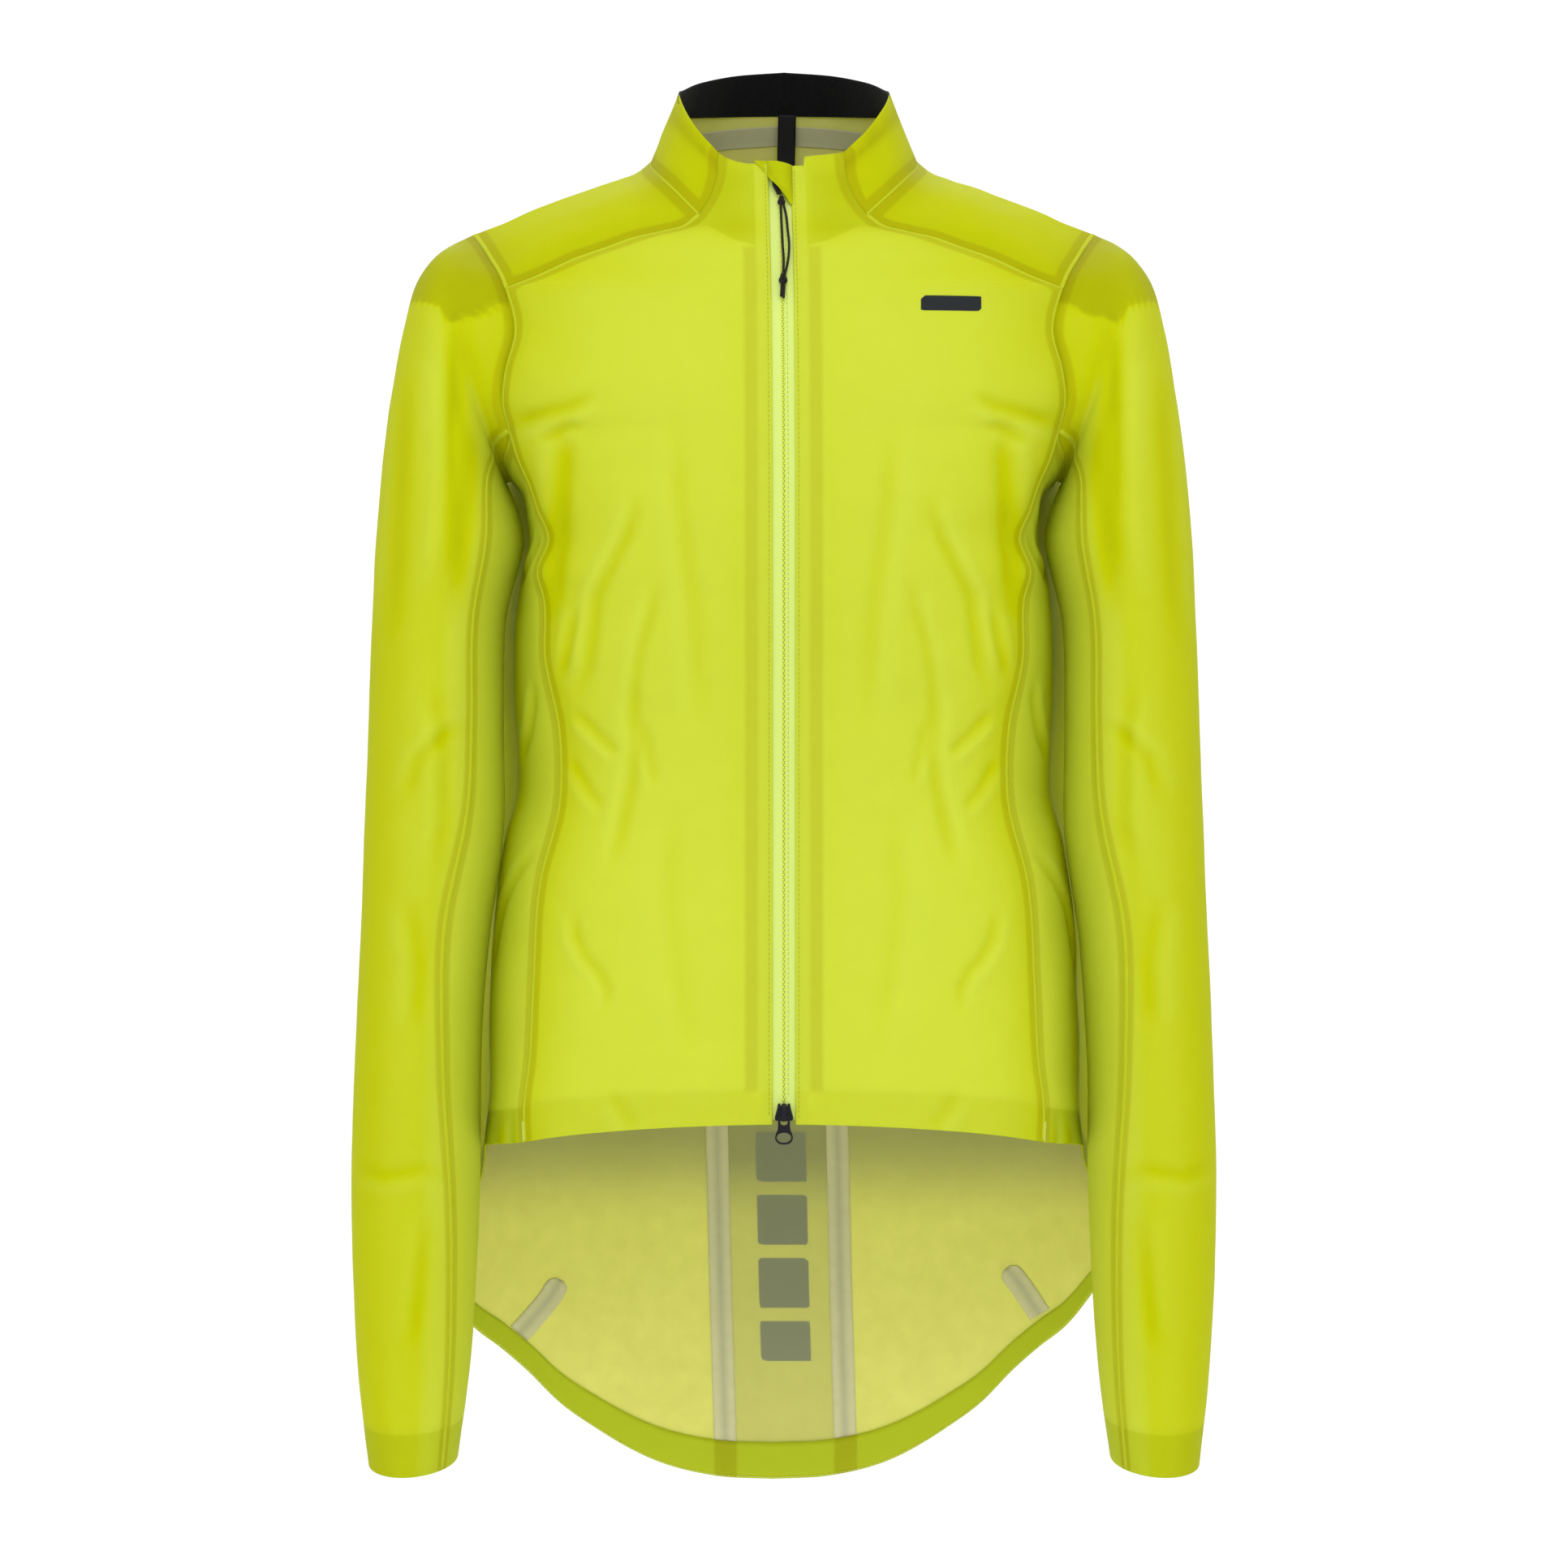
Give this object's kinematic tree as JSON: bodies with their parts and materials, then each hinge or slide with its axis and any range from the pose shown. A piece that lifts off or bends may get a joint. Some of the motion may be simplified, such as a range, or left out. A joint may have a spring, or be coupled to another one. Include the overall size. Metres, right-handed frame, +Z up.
{
  "type": "waterproof jacket",
  "caption": "Light waterproof cycling jacket, hollow and filled out as worn, with stand collar, flap over a two-way front zip, set-in sleeves and a long dropped back hem.",
  "frame": {"origin": "middle of the neck at the height where the jacket bears on the wearer's shoulders", "axes": "+Z up, the zip and front face -Y, +X is the wearer's left"},
  "size_m": [0.4976, 0.2522, 0.8365],
  "materials": {
    "coated_cloth": "thin translucent neon yellow laminate, smooth and matt outside, pale grey inside",
    "seam_tape": "matt grey heat-bonded tape",
    "collar_lining": "black brushed knit",
    "label": "plain black woven satin",
    "zip_tape": "pale lime woven tape",
    "zip_coil": "lime nylon coil",
    "zip_metal": "black satin lacquer",
    "cord": "black braided cord"
  },
  "bodies": {
    "jacket": {"front_right": "coated_cloth", "front_left": "coated_cloth", "side_right": "coated_cloth", "side_left": "coated_cloth", "back_right": "coated_cloth", "back_left": "coated_cloth", "back_centre": "coated_cloth", "sleeve_right": "coated_cloth", "sleeve_left": "coated_cloth", "yoke": "coated_cloth", "collar": "coated_cloth", "facing_right": "coated_cloth", "facing_left": "coated_cloth", "zip_garage": "coated_cloth", "tail_hem": "coated_cloth", "back_tape_right": "seam_tape", "back_tape_left": "seam_tape", "dart_tape_right": "seam_tape", "dart_tape_left": "seam_tape", "placket_tape_right": "seam_tape", "placket_tape_left": "seam_tape", "neck_tape": "seam_tape", "collar_lining": "collar_lining", "neck_label": "label", "zip_tape_right": "zip_tape", "zip_tape_left": "zip_tape", "zip_coil": "zip_coil", "slider_top": "zip_metal", "slider_bottom": "zip_metal", "cord_loop": "cord", "cord_knot_upper": "cord", "cord_strand_right": "cord", "cord_strand_left": "cord", "cord_knot_lower": "cord", "cord_end": "cord"},
    "pull_tab": {"pull_tab": "zip_metal"}
  },
  "joints": [
    {"name": "pull_tab_hinge", "type": "hinge", "parent": "jacket", "child": "pull_tab", "pos_m": [0, -0.12205, -0.5446], "axis": [-1, 0, 0], "range_deg": [0, 120]}
  ]
}
